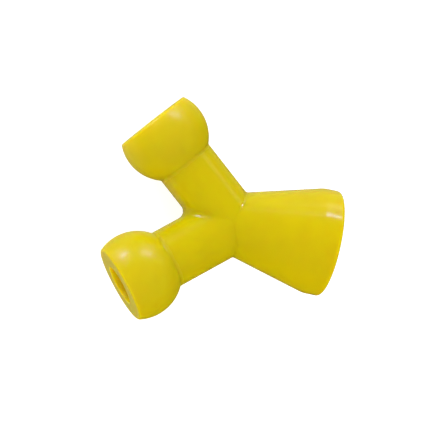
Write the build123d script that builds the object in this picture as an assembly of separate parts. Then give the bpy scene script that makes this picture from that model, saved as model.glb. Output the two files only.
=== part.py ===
from build123d import *
from math import asin, atan2, cos, degrees, radians, sin, sqrt, tan
import os

# Y fitting of a modular ball-and-socket coolant hose, nominal 1/4 in system, moulded in one piece.
# Two equal arms end in truncated balls, and one flared socket grips the ball of the next element.
# It is drawn with the three axes meeting at the origin: the socket opens along +X, the arms lean back
# to either side of -X, and XZ is the plane of symmetry. The last step lays it down as it comes to rest.
# Every turned section has X along its axis and Y as its radius. All sizes are millimetres.

# Passages and walls
BORE_DIA = 6.1            # passage through each arm
WALL = 1.45               # nominal wall, about the same all over the moulding
# Arms
ARM_SPREAD = 80.0         # degrees between the two arms' axes
ARM_REACH = 16.4          # from the meeting point of the axes to a ball's centre
BALL_DIA = 13.2
BALL_FACE = 3.05          # from a ball's centre to its flat end face
# Socket
FLARE_ANGLE = 15.0        # degrees, half the angle of the socket's cone
SEAT_CLEARANCE = 0.05     # on the diameter, between a ball and the seat that grips it
COLLAR_LENGTH = 2.45      # straight lip, from the seat's widest place to the rim
MOUTH_LEAD = 0.35         # 45 degree lead-in that guides a ball through the mouth
# Edges
CROTCH_RADIUS = 1.2       # crease between the two arms
CREASE_RADIUS = 0.6       # creases between an arm and the socket
ROOT_RADIUS = 0.3         # where a neck runs into its ball
BALL_EDGE_RADIUS = 0.42   # round a ball's flat face
KNEE_RADIUS = 4.0         # where the flare turns into the collar
RIM_RADIUS = 0.5          # outside edge of the rim
LIP_RADIUS = 0.2          # narrowest place of the mouth
BOSS_RISE = 0.08          # low round boss at the meeting point, where the creases run out

bore_radius = BORE_DIA / 2
neck_radius = bore_radius + WALL
ball_radius = BALL_DIA / 2
arm_end = ARM_REACH + BALL_FACE
seat_radius = ball_radius + SEAT_CLEARANCE / 2
collar_radius = seat_radius + WALL
flare_slope = tan(radians(FLARE_ANGLE))
arm_lean = 180 - ARM_SPREAD / 2   # degrees from +X to an arm's axis


def flare_start(ball):
    """Point of the section where a flare leaves the sphere of this radius at the meeting point."""
    return -ball * sin(radians(FLARE_ANGLE)), ball * cos(radians(FLARE_ANGLE))


def flare_length(ball, radius):
    """How far along the axis the flare that leaves that sphere reaches the given radius."""
    x, y = flare_start(ball)
    return x + (radius - y) / flare_slope


knee_x = flare_length(neck_radius, collar_radius)
seat_x = knee_x           # the seat is widest where the collar begins
rim_x = seat_x + COLLAR_LENGTH


def rounded(section, x, y, radius):
    """The section with its corner nearest to (x, y) rounded off."""
    return fillet(section.vertices().sort_by_distance((x, y, 0))[0], radius)


def above_axis(length):
    """Half plane over the axis from the origin to the given length."""
    size = 2 * length
    return Pos(length - size, 0) * Rectangle(size, size, align=Align.MIN)


def arm_section():
    """Outside of an arm: a straight neck, run into a ball that is cut off flat."""
    neck = Rectangle(ARM_REACH, neck_radius, align=Align.MIN)
    ball = Pos(ARM_REACH, 0) * Circle(ball_radius)
    section = (neck + ball) & above_axis(arm_end)
    root_x = ARM_REACH - sqrt(ball_radius**2 - neck_radius**2)
    section = rounded(section, root_x, neck_radius, ROOT_RADIUS)
    return rounded(section, arm_end, sqrt(ball_radius**2 - BALL_FACE**2), BALL_EDGE_RADIUS)


def socket_section():
    """Outside of the socket: a flare from the meeting point, then the straight collar."""
    start_x, start_radius = flare_start(neck_radius)
    flare = [(start_x, 0), (start_x, start_radius), (knee_x, collar_radius)]
    collar = [(rim_x, collar_radius), (rim_x, 0)]
    section = make_face(Polyline(*flare, *collar, close=True))
    section = rounded(section, knee_x, collar_radius, KNEE_RADIUS)
    return rounded(section, rim_x, collar_radius, RIM_RADIUS)


def seat_section():
    """Inside of the socket: the flared throat, the spherical seat, its narrower mouth and lead-in."""
    start_x, start_radius = flare_start(bore_radius)
    throat_radius = start_radius + (seat_x - start_x) * flare_slope
    throat = [(start_x, 0), (start_x, start_radius), (seat_x, throat_radius), (seat_x, 0)]
    lead_x = rim_x - MOUTH_LEAD
    mouth_radius = sqrt(seat_radius**2 - (lead_x - seat_x)**2)
    beyond_x = rim_x + WALL
    beyond_radius = mouth_radius + beyond_x - lead_x
    lead_in = [(lead_x, 0), (lead_x, mouth_radius), (beyond_x, beyond_radius), (beyond_x, 0)]
    cones = make_face(Polyline(*throat, close=True)) + make_face(Polyline(*lead_in, close=True))
    seat = (Pos(seat_x, 0) * Circle(seat_radius)) & above_axis(lead_x)
    return rounded(cones + seat, lead_x, mouth_radius, LIP_RADIUS)


def turned(section):
    return revolve(section, Axis.X)


def on_both_arms(solid):
    """Two copies of a solid that is drawn along +X, one on each arm's axis."""
    return Rot(Z=arm_lean) * solid + Rot(Z=-arm_lean) * solid


def corner(ball, angle_a, angle_b):
    """Where two outlines meet that touch the sphere of this radius at these angles from +X, in degrees."""
    half_gap = radians(angle_b - angle_a) / 2
    direction = radians(angle_a + angle_b) / 2
    reach = ball / cos(half_gap)
    return Vector(reach * cos(direction), reach * sin(direction), 0)


def blended(body, point, radius):
    """The body with the creases filleted that run up and down from this corner of its outline."""
    curved = body.edges().filter_by(GeomType.LINE, reverse=True)
    return fillet(curved.filter_by(lambda edge: edge.distance_to(point) < 0.01), radius)


def outside():
    """The moulding's outside, its creases blended and run out on the boss at the meeting point."""
    boss = Sphere(neck_radius + BOSS_RISE)
    body = boss + on_both_arms(turned(arm_section())) + turned(socket_section())
    crotch = corner(neck_radius, 270 - arm_lean, arm_lean + 90)
    body = blended(body, crotch, CROTCH_RADIUS)
    for side in (-1, 1):
        crease = corner(neck_radius, side * (arm_lean - 90), side * (90 + FLARE_ANGLE))
        body = blended(body, crease, CREASE_RADIUS)
    return body


def at_rest(body):
    """The fitting as it lies: the collar's knee and both balls touch the ground, the socket looks up."""
    ball = Vector(-ARM_REACH * cos(radians(ARM_SPREAD / 2)), 0)
    knee = Vector(knee_x + KNEE_RADIUS * tan(radians(FLARE_ANGLE / 2)), KNEE_RADIUS - collar_radius)
    reach = knee - ball
    tilt = asin((KNEE_RADIUS - ball_radius) / reach.length) - atan2(reach.Y, reach.X)
    body = Rot(Y=-degrees(tilt)) * body
    box = body.bounding_box()
    return Pos(-box.center().X, -box.center().Y, -box.min.Z) * body


bore = turned(Rectangle(arm_end + WALL, bore_radius, align=Align.MIN))
passages = on_both_arms(bore) + turned(seat_section())
y_fitting = at_rest(outside() - passages)
os.makedirs("parts", exist_ok=True)
export_step(y_fitting, "parts/y_fitting.step")
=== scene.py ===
"""A one-piece hose Y fitting in glossy yellow acetal, lying on a white table under soft studio light.

Everything is in metres, in the frame of the CAD model: the part rests on z = 0 and its socket faces +X.
"""

import math

import bpy
from mathutils import Matrix, Vector

MM = 0.001

# The camera looks down at 75 degrees to the table, from the side of the arms.
CAMERA_AIM = Vector((-1.232, 0.693, 6.726)) * MM
CAMERA_DISTANCE = 318.72 * MM
CAMERA_AZIMUTH = -66.072
CAMERA_ELEVATION = 75.059
CAMERA_ROLL = 77.787
CAMERA_LENS = 178.13
SENSOR_WIDTH = 36.0
CAMERA_CLIP = (0.01, 10.0)

# The moulding's parting plane holds the axes of both arms and of the socket.
PARTING_POINT = Vector((1.4854, 0.0, 7.3139)) * MM
PARTING_TILT = math.radians(3.258)
PARTING_WIDTH = 0.05 * MM
PARTING_HEIGHT = 0.015 * MM

# The plastic's colours, linear, how light passes through it, and the sizes of what its skin shows.
ACETAL = (0.540, 0.480, 0.001)
ACETAL_DEEP = (0.515, 0.450, 0.001)
# The crease colour is painted light: a brighter, warmer colour laid inside the bores, the socket and deep
# creases, standing in for light that passes through the plastic and bounces in the hollows.
ACETAL_PAINTED_LIGHT = (0.72, 0.58, 0.001)
ACETAL_RUBBED = (0.62, 0.56, 0.08)
ACETAL_IOR = 1.48
SCATTER_WEIGHT = 1.0
SCATTER_RADIUS = (1.0, 0.6, 0.1)
SCATTER_SCALE = 4.0 * MM
FLOW_SIZE = 5.0 * MM
FLECK_SIZE = 1.1 * MM
WAVE_SIZE = 1.6 * MM
WAVE_DEPTH = 0.012 * MM
GRAIN_SIZE = 0.25 * MM
GRAIN_DEPTH = 0.0006 * MM
WAVE_DETAIL = 1.0
NOISE_MIDDLE = (0.35, 0.65)
TWO_NOISES_MIDDLE = (0.7, 1.3)
RUBBED_ROUGHNESS = (0.285, 0.335)
POLISHED_ROUGHNESS = (0.17, 0.20)
BALL_X, BALL_Y, BALL_Z = -11.06 * MM, 10.54 * MM, 6.6 * MM
BALL_REACH = (6.8 * MM, 7.5 * MM)
EDGE_REACH = 0.25 * MM
EDGE_LIKENESS = (0.90, 0.99)
EDGE_PATCHES = (0.35, 1.0)
EDGE_TINT = 0.5
EDGE_ROUGHNESS = 0.10
CREASE_REACH = 7.0 * MM
CREASE_OPENNESS = (0.20, 0.75)
# How strongly that painted light is laid into the hollows the crease mask finds.
PAINTED_LIGHT_STRENGTH = 1.0

WHITE = (1.0, 1.0, 1.0)

# The cool windows are long, low strips that show as highlights. The warm fills light the part, but don't show
# in its gloss. Each has: compass angle from +X, height angle, width, height, radiance, and is it a window.
SOFT_BOXES = {
    "left_window": (142.0, 17.0, 0.19, 0.060, 33.0, True),
    "right_window": (86.0, 32.5, 0.27, 0.050, 22.0, True),
    "window_fill": (124.0, 26.0, 0.50, 0.50, 2.75, False),
    "front_fill": (-88.0, 30.0, 0.50, 0.30, 2.7, False),
    "bore_fill": (222.0, 22.0, 0.40, 0.25, 1.8, False),
    "right_fill": (27.0, 38.0, 0.40, 0.30, 2.6, False),
}
WINDOW_COLOR = (0.45, 0.50, 1.0)
FILL_COLOR = (1.0, 0.80, 0.55)
SOFT_BOX_DISTANCE = 0.60

# The room round the part: how bright it is as a light, as a backdrop, and in the part's gloss. In the gloss
# it is dark, except below the table's level on the windows' side. The table itself is hidden from the gloss.
ROOM_LIGHT = 0.68
BACKDROP = 1.0
GLOSS_DARK = 0.02
GLOSS_BRIGHT = 0.30
WINDOW_SIDE = (-0.82, 0.56, 0.0)
SIDE_BLUR = (-0.35, 0.05)
HORIZON_BLUR = (0.05, -0.05)
# Soft patches of light round the windows, seen only in the gloss: compass angle, height angle, radiance.
# Each fades out between the two angles of GLOW_RADIUS.
GLOWS = (
    (143.0, -2.0, 2.4),
    (146.0, 34.0, 1.7),
    (119.0, 27.0, 0.3),
    (90.0, 10.0, 1.6),
    (77.0, 10.0, 1.6),
    (48.0, 25.0, 0.6),
)
GLOW_RADIUS = (12.0, 6.0)

# The table glows: how brightly to the camera, and as a light on the part.
TABLE_SEEN = 0.80
TABLE_LIGHT = 0.25
TABLE_COLOR = (0.62, 0.62, 0.62)
TABLE_ROUGHNESS = 0.9
TABLE_HALF_WIDTH = 1.5


def direction(compass, height_angle):
    """The unit vector at these angles, in degrees, from +X and from the table."""
    turn, rise = math.radians(compass), math.radians(height_angle)
    return Vector((math.cos(turn) * math.cos(rise), math.sin(turn) * math.cos(rise), math.sin(rise)))


def noise(tree, place, size, detail=2.0):
    """Smooth noise from 0 to 1 whose blobs are about size across."""
    node = tree.nodes.new("ShaderNodeTexNoise")
    node.inputs["Scale"].default_value = 1.0 / size
    node.inputs["Detail"].default_value = detail
    tree.links.new(place, node.inputs["Vector"])
    return node.outputs["Fac"]


def remap(tree, value, low_high, new_low_high):
    """Takes low_high to new_low_high in a straight line, clamped at both ends."""
    node = tree.nodes.new("ShaderNodeMapRange")
    node.inputs["From Min"].default_value, node.inputs["From Max"].default_value = low_high
    node.inputs["To Min"].default_value, node.inputs["To Max"].default_value = new_low_high
    tree.links.new(value, node.inputs["Value"])
    return node.outputs["Result"]


def math_node(tree, operation, *values):
    """A Math node on sockets and plain numbers."""
    node = tree.nodes.new("ShaderNodeMath")
    node.operation = operation
    for value, socket in zip(values, node.inputs):
        if isinstance(value, float):
            socket.default_value = value
        else:
            tree.links.new(value, socket)
    return node.outputs["Value"]


def vector_node(tree, operation, a, b):
    """A Vector Math node on a socket and a socket or a plain vector."""
    node = tree.nodes.new("ShaderNodeVectorMath")
    node.operation = operation
    tree.links.new(a, node.inputs[0])
    if isinstance(b, Vector):
        node.inputs[1].default_value = b
    else:
        tree.links.new(b, node.inputs[1])
    return node


def mixed(tree, factor, a, b):
    """a where the factor is 0 and b where it is 1. Each is a socket or a plain number."""
    node = tree.nodes.new("ShaderNodeMix")
    tree.links.new(factor, node.inputs["Factor"])
    for value, socket in ((a, node.inputs["A"]), (b, node.inputs["B"])):
        if isinstance(value, float):
            socket.default_value = value
        else:
            tree.links.new(value, socket)
    return node.outputs["Result"]


def tinted(tree, factor, color, below):
    """A colour laid over another by a factor. below is a socket or a plain colour."""
    node = tree.nodes.new("ShaderNodeMix")
    node.data_type = "RGBA"
    under, over = [socket for socket in node.inputs if socket.type == "RGBA"]
    tree.links.new(factor, node.inputs["Factor"])
    if isinstance(below, tuple):
        under.default_value = (*below, 1.0)
    else:
        tree.links.new(below, under)
    over.default_value = (*color, 1.0)
    return next(socket for socket in node.outputs if socket.type == "RGBA")


def bumped(tree, height, depth, under=None):
    """A bump of the given depth, laid over another one's normal."""
    node = tree.nodes.new("ShaderNodeBump")
    node.inputs["Distance"].default_value = depth
    tree.links.new(height, node.inputs["Height"])
    if under:
        tree.links.new(under, node.inputs["Normal"])
    return node.outputs["Normal"]


def make_camera():
    """The camera's place from its angles round the aim point, then a roll about its own axis."""
    azimuth, elevation = math.radians(CAMERA_AZIMUTH), math.radians(CAMERA_ELEVATION)
    back = Vector((
        math.sin(azimuth) * math.cos(elevation),
        -math.cos(azimuth) * math.cos(elevation),
        math.sin(elevation),
    ))
    data = bpy.data.cameras.new("camera")
    data.lens = CAMERA_LENS
    data.sensor_width = SENSOR_WIDTH
    data.clip_start, data.clip_end = CAMERA_CLIP
    camera = bpy.data.objects.new("camera", data)
    camera.rotation_mode = "QUATERNION"
    camera.location = CAMERA_AIM + back * CAMERA_DISTANCE
    upright = (-back).to_track_quat("-Z", "Y")
    roll = Matrix.Rotation(math.radians(CAMERA_ROLL), 3, back).to_quaternion()
    camera.rotation_quaternion = roll @ upright
    bpy.context.scene.collection.objects.link(camera)
    bpy.context.scene.camera = camera


def make_soft_box(name, compass, height_angle, width, height, radiance, is_window):
    """A rectangle of light that faces the part. Its power is what gives an area lamp this radiance."""
    towards = direction(compass, height_angle)
    data = bpy.data.lights.new(name, "AREA")
    data.shape = "RECTANGLE"
    data.size, data.size_y = width, height
    data.energy = math.pi * width * height * radiance
    data.color = WINDOW_COLOR if is_window else FILL_COLOR
    lamp = bpy.data.objects.new(name, data)
    lamp.location = PARTING_POINT + towards * SOFT_BOX_DISTANCE
    lamp.rotation_mode = "QUATERNION"
    lamp.rotation_quaternion = (-towards).to_track_quat("-Z", "Y")
    lamp.visible_glossy = is_window
    lamp.visible_camera = False
    bpy.context.scene.collection.objects.link(lamp)


def make_world():
    """A pale room. In the part's gloss it is dark instead, with a bright low side and soft glows."""
    world = bpy.data.worlds.new("studio")
    world.use_nodes = True
    tree = world.node_tree
    background = tree.nodes["Background"]
    background.inputs["Color"].default_value = (*WHITE, 1.0)
    look = tree.nodes.new("ShaderNodeTexCoord").outputs["Generated"]
    ray = tree.nodes.new("ShaderNodeLightPath")
    height = tree.nodes.new("ShaderNodeSeparateXYZ")
    tree.links.new(look, height.inputs["Vector"])

    side = vector_node(tree, "DOT_PRODUCT", look, Vector(WINDOW_SIDE)).outputs["Value"]
    low = remap(tree, side, SIDE_BLUR, (GLOSS_DARK, GLOSS_BRIGHT))
    gloss = mixed(tree, remap(tree, height.outputs["Z"], HORIZON_BLUR, (0.0, 1.0)), GLOSS_DARK, low)
    edge, core = (math.cos(math.radians(radius)) for radius in GLOW_RADIUS)
    for compass, height_angle, radiance in GLOWS:
        towards = direction(compass, height_angle)
        nearness = vector_node(tree, "DOT_PRODUCT", look, towards).outputs["Value"]
        glow = remap(tree, nearness, (edge, core), (0.0, radiance))
        gloss = math_node(tree, "MAXIMUM", glow, gloss)
    room = mixed(tree, ray.outputs["Is Glossy Ray"], ROOM_LIGHT, gloss)
    seen = mixed(tree, ray.outputs["Is Camera Ray"], room, BACKDROP)
    tree.links.new(seen, background.inputs["Strength"])
    bpy.context.scene.world = world


def make_floor():
    """A white table, bright enough to the camera to hide the shadows, and hidden from the part's gloss."""
    mesh = bpy.data.meshes.new("floor")
    half = TABLE_HALF_WIDTH
    corners = [(-half, -half, 0), (half, -half, 0), (half, half, 0), (-half, half, 0)]
    mesh.from_pydata(corners, [], [(0, 1, 2, 3)])
    floor = bpy.data.objects.new("floor", mesh)
    material = bpy.data.materials.new("white_table")
    material.use_nodes = True
    tree = material.node_tree
    shader = tree.nodes["Principled BSDF"]
    shader.inputs["Base Color"].default_value = (*TABLE_COLOR, 1.0)
    shader.inputs["Roughness"].default_value = TABLE_ROUGHNESS
    shader.inputs["Emission Color"].default_value = (*WHITE, 1.0)
    seen = tree.nodes.new("ShaderNodeLightPath").outputs["Is Camera Ray"]
    tree.links.new(mixed(tree, seen, TABLE_LIGHT, TABLE_SEEN), shader.inputs["Emission Strength"])
    mesh.materials.append(material)
    bpy.context.scene.collection.objects.link(floor)
    floor.visible_glossy = False


def edge_mask(tree):
    """1 where the surface turns sharply within EDGE_REACH, as at a rim, and 0 where it is smooth."""
    rounded = tree.nodes.new("ShaderNodeBevel")
    rounded.inputs["Radius"].default_value = EDGE_REACH
    own_normal = tree.nodes.new("ShaderNodeNewGeometry").outputs["Normal"]
    likeness = vector_node(tree, "DOT_PRODUCT", rounded.outputs["Normal"], own_normal).outputs["Value"]
    return remap(tree, likeness, EDGE_LIKENESS, (1.0, 0.0))


def crease_mask(tree):
    """1 inside the bores and the socket and deep in a crease, 0 in the open."""
    occlusion = tree.nodes.new("ShaderNodeAmbientOcclusion")
    occlusion.inputs["Distance"].default_value = CREASE_REACH
    return remap(tree, occlusion.outputs["AO"], CREASE_OPENNESS, (1.0, 0.0))


def ball_mask(tree, place):
    """1 on both balls, whose sockets have rubbed them duller, and 0 on the rest."""
    near, far = (
        vector_node(tree, "DISTANCE", place, Vector((BALL_X, side * BALL_Y, BALL_Z))).outputs["Value"]
        for side in (1, -1)
    )
    return remap(tree, math_node(tree, "MINIMUM", near, far), BALL_REACH, (1.0, 0.0))


def parting_line(tree, place, creases):
    """A fine raised line where the mould's halves met, fading out inside the bores, which cores left."""
    normal = Vector((-math.sin(PARTING_TILT), 0.0, math.cos(PARTING_TILT)))
    from_point = vector_node(tree, "SUBTRACT", place, PARTING_POINT).outputs["Vector"]
    height = vector_node(tree, "DOT_PRODUCT", from_point, normal).outputs["Value"]
    line = remap(tree, math_node(tree, "ABSOLUTE", height), (0.0, PARTING_WIDTH), (1.0, 0.0))
    return mixed(tree, creases, line, 0.0)


def yellow_acetal():
    """Glossy, slightly translucent plastic with flow marks, dull balls, rubbed edges, a wavy skin, and
    painted light brightening its bores and creases.
    """
    material = bpy.data.materials.new("yellow_acetal_moulded")
    material.use_nodes = True
    tree = material.node_tree
    shader = tree.nodes["Principled BSDF"]
    place = tree.nodes.new("ShaderNodeTexCoord").outputs["Object"]
    flow = noise(tree, place, FLOW_SIZE)
    fleck = noise(tree, place, FLECK_SIZE)
    wave = noise(tree, place, WAVE_SIZE, WAVE_DETAIL)
    grain = noise(tree, place, GRAIN_SIZE)
    creases = crease_mask(tree)
    edges = math_node(tree, "MULTIPLY", edge_mask(tree), remap(tree, fleck, NOISE_MIDDLE, EDGE_PATCHES))

    color = tinted(tree, remap(tree, flow, NOISE_MIDDLE, (0.0, 1.0)), ACETAL_DEEP, ACETAL)
    # Painted light: a brighter, warmer colour inside the bores, the socket and deep creases.
    color = tinted(tree, math_node(tree, "MULTIPLY", creases, PAINTED_LIGHT_STRENGTH), ACETAL_PAINTED_LIGHT, color)
    color = tinted(tree, math_node(tree, "MULTIPLY", edges, EDGE_TINT), ACETAL_RUBBED, color)
    tree.links.new(color, shader.inputs["Base Color"])

    patches = math_node(tree, "ADD", flow, fleck)
    rubbed = remap(tree, patches, TWO_NOISES_MIDDLE, RUBBED_ROUGHNESS)
    polished = remap(tree, patches, TWO_NOISES_MIDDLE, POLISHED_ROUGHNESS)
    roughness = mixed(tree, ball_mask(tree, place), polished, rubbed)
    roughness = math_node(tree, "MULTIPLY_ADD", edges, EDGE_ROUGHNESS, roughness)
    tree.links.new(roughness, shader.inputs["Roughness"])

    skin = bumped(tree, wave, WAVE_DEPTH)
    skin = bumped(tree, grain, GRAIN_DEPTH, skin)
    skin = bumped(tree, parting_line(tree, place, creases), PARTING_HEIGHT, skin)
    tree.links.new(skin, shader.inputs["Normal"])

    shader.inputs["IOR"].default_value = ACETAL_IOR
    shader.inputs["Subsurface Weight"].default_value = SCATTER_WEIGHT
    shader.inputs["Subsurface Radius"].default_value = SCATTER_RADIUS
    shader.inputs["Subsurface Scale"].default_value = SCATTER_SCALE
    return material


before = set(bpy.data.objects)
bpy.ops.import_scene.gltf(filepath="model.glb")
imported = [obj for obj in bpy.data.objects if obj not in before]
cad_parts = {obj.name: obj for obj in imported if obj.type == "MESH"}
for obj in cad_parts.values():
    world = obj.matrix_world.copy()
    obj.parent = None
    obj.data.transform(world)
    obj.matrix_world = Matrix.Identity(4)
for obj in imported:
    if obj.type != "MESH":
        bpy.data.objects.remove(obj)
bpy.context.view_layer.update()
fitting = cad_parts["y_fitting"]
fitting.data.materials[0] = yellow_acetal()
make_camera()
make_world()
for name, row in SOFT_BOXES.items():
    make_soft_box(name, *row)
make_floor()
bpy.context.scene.view_settings.view_transform = "Standard"
